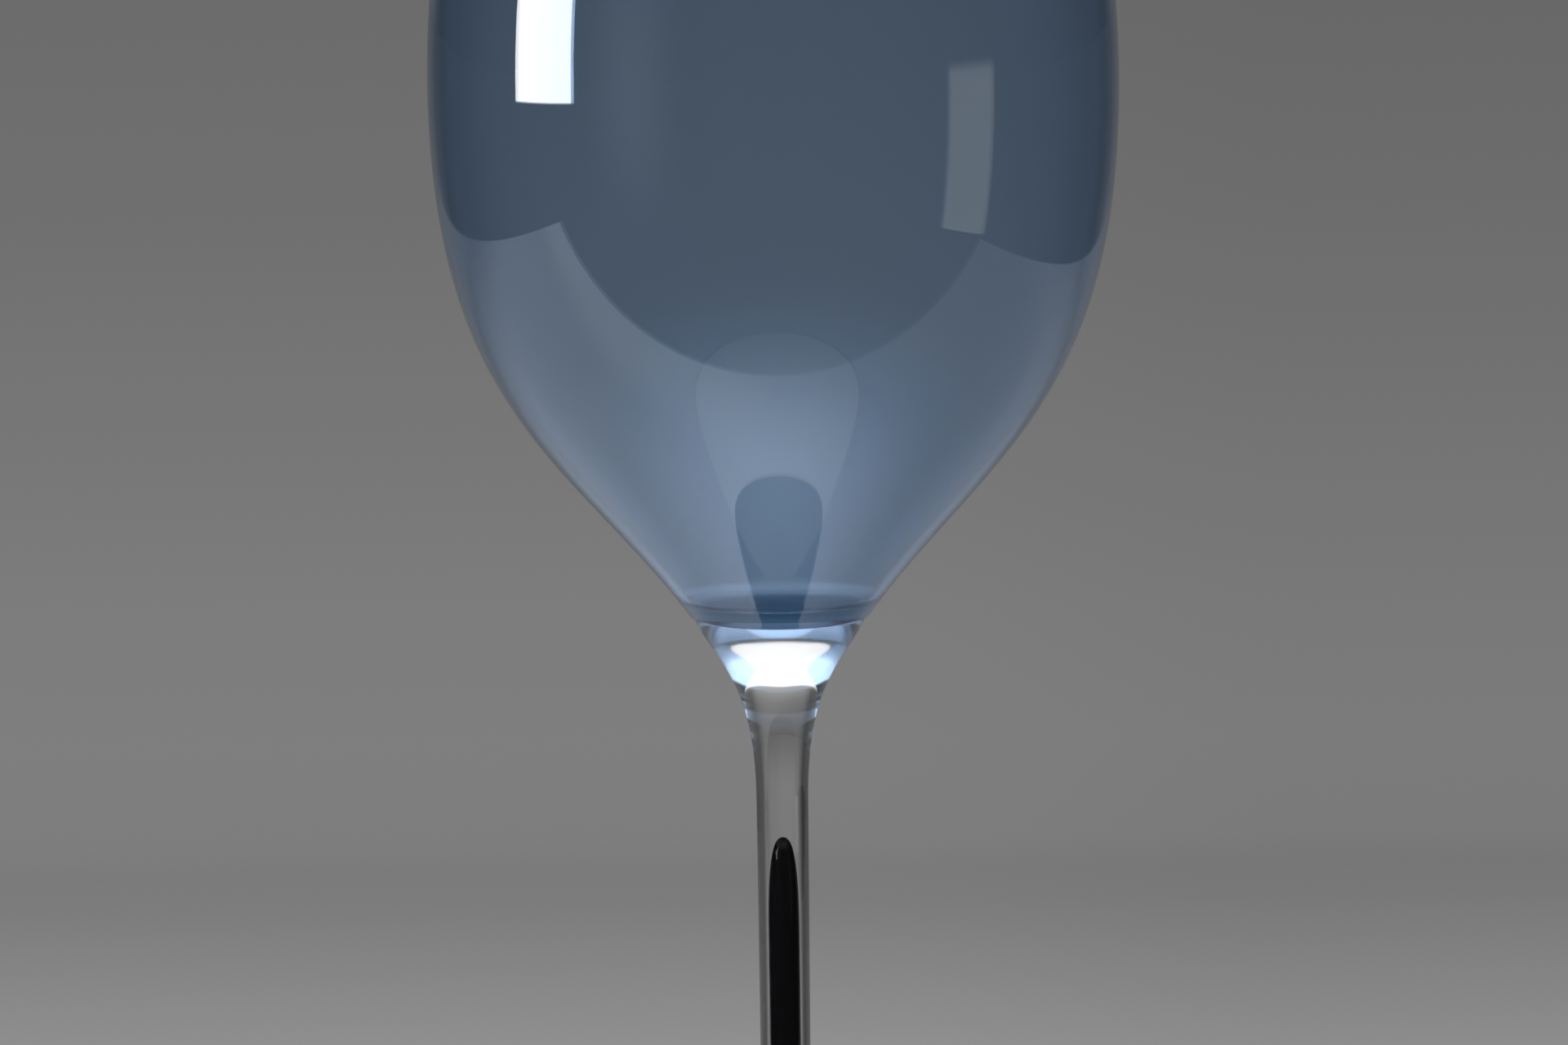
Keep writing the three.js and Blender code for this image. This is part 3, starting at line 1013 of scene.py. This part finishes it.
def studio_dome():
    """Radiance by direction: the top's level times the square of (z - 1/2) / (1/2), plus the low light. The
    joint doesn't see the top, and mirrored light sees it as a bluish ceiling."""
    world = bpy.data.worlds.new("studio")
    world.use_nodes = True
    tree = world.node_tree
    tree.nodes.clear()
    direction = add(tree, "ShaderNodeTexCoord").outputs["Generated"]
    way = add(tree, "ShaderNodeSeparateXYZ", [(0, direction)]).outputs
    joint = crosses_joint(tree)
    height = ease(tree, way["Z"], DOME_FROM, 1.0, 0.0, 1.0, curve="LINEAR")
    top = step(tree, "MULTIPLY", step(tree, "POWER", height, 2), choose(tree, joint, DOME_TOP, 0.0))
    sky = blend(tree, mirrors(tree), WHITE, CEILING_COLOUR)
    ceiling = add(tree, "ShaderNodeVectorMath", [(0, sky), ("Scale", top)], operation="SCALE").outputs[0]
    low = low_light(tree, way, joint)
    radiance = add(tree, "ShaderNodeVectorMath", [(0, ceiling), (1, low)], operation="ADD").outputs[0]
    light = add(tree, "ShaderNodeBackground", [("Color", radiance), ("Strength", WORLD_LEVEL)])
    output = add(tree, "ShaderNodeOutputWorld")
    tree.links.new(light.outputs["Background"], output.inputs["Surface"])
    bpy.context.scene.world = world
    print("dome has", len(tree.nodes), "nodes")


studio_dome()
bpy.context.scene.view_settings.view_transform = "Standard"

# %% [markdown]
# ## Strip, card and bounce
# A tall strip and a dim bounce on the left and a card on the right are there for the bowl to mirror.
# Area lamps could give the same images, but they would light the floor as well. These panels glow
# only for light that has met few surfaces, as in the image that the front wall of the bowl gives,
# and other light passes straight through them.

# %% Shape of a panel
PANEL_DISTANCE = 1.0


def panel_corners(azimuth, spread, bottom, top):
    """The corners of an upright panel at a bearing from the widest ring, in degrees: 0 is towards the camera
    and + is right. Its width is the spread, and its border heights are tangents of the two tilts."""
    turn, half = math.radians(azimuth), math.radians(spread / 2)
    low, high = (PANEL_DISTANCE * math.tan(math.radians(tilt)) for tilt in (bottom, top))
    side = np.array([math.cos(turn), math.sin(turn), 0]) * PANEL_DISTANCE * math.tan(half)
    centre = np.array([math.sin(turn), -math.cos(turn), 0]) * PANEL_DISTANCE + (0, 0, WIDEST_Z)
    lower, upper = centre + (0, 0, low), centre + (0, 0, high)
    return np.array([lower - side, lower + side, upper + side, upper - side])


print("panels stand", PANEL_DISTANCE, "m from the axis")

# %% Glow of a panel
PANEL_MARKS = {"across": (0, 1, 1, 0), "upward": (0, 0, 1, 1)}


def panel_glow(name, radiance, colour, softness):
    """A glow that eases off over a share of the width and height at each border. It shows only to light that
    was mirrored at most once and has crossed fewer than three surfaces."""
    material, tree, output = new_material(name)
    path = light_path(tree)
    front = step(tree, "LESS_THAN", path["Transmission Depth"], PAST_ONE_WALL)
    once = step(tree, "LESS_THAN", path["Glossy Depth"], MIRRORED_TWICE)
    level = product(tree, front, once, radiance)
    for name_of_mark in PANEL_MARKS:
        share = mark(tree, name_of_mark)
        border = step(tree, "MINIMUM", share, rest(tree, share))
        level = step(tree, "MULTIPLY", level, ease(tree, border, 0.0, softness, 0.0, 1.0))
    clear = add(tree, "ShaderNodeBsdfTransparent").outputs[0]
    glow = add(tree, "ShaderNodeEmission", [("Color", (*colour, 1)), ("Strength", level)]).outputs[0]
    both = add(tree, "ShaderNodeAddShader", [(0, clear), (1, glow)])
    tree.links.new(both.outputs[0], output.inputs["Surface"])
    return material


print("borders are told by the marks", " and ".join(PANEL_MARKS))

# %% Strip, card and bounce
def soft_panel(name, azimuth, spread, bottom, top, radiance, colour, softness):
    """A glowing panel that neither the camera nor the floor sees, and that throws no shadow."""
    panel = stage_sheet(name, panel_corners(azimuth, spread, bottom, top))
    for name_of_mark, at_corners in PANEL_MARKS.items():
        panel.data.attributes.new(name_of_mark, "FLOAT", "POINT").data.foreach_set("value", at_corners)
    panel.data.materials.append(panel_glow(name, radiance, colour, softness))
    panel.visible_camera = False
    panel.visible_diffuse = False
    panel.visible_shadow = False
    print(name, "stands at", azimuth, "degrees and is", spread, "degrees wide")


soft_panel("left_strip", azimuth=-79.5, spread=24, bottom=-3.3, top=16,
           radiance=14.0, colour=WHITE, softness=0.02)
soft_panel("right_card", azimuth=66.5, spread=18.5, bottom=-20.5, top=1.2,
           radiance=0.95, colour=(1, 0.94, 0.84), softness=0.08)
soft_panel("left_bounce", azimuth=-46, spread=38, bottom=-24, top=24,
           radiance=0.3, colour=(0.8, 0.92, 1), softness=0.5)
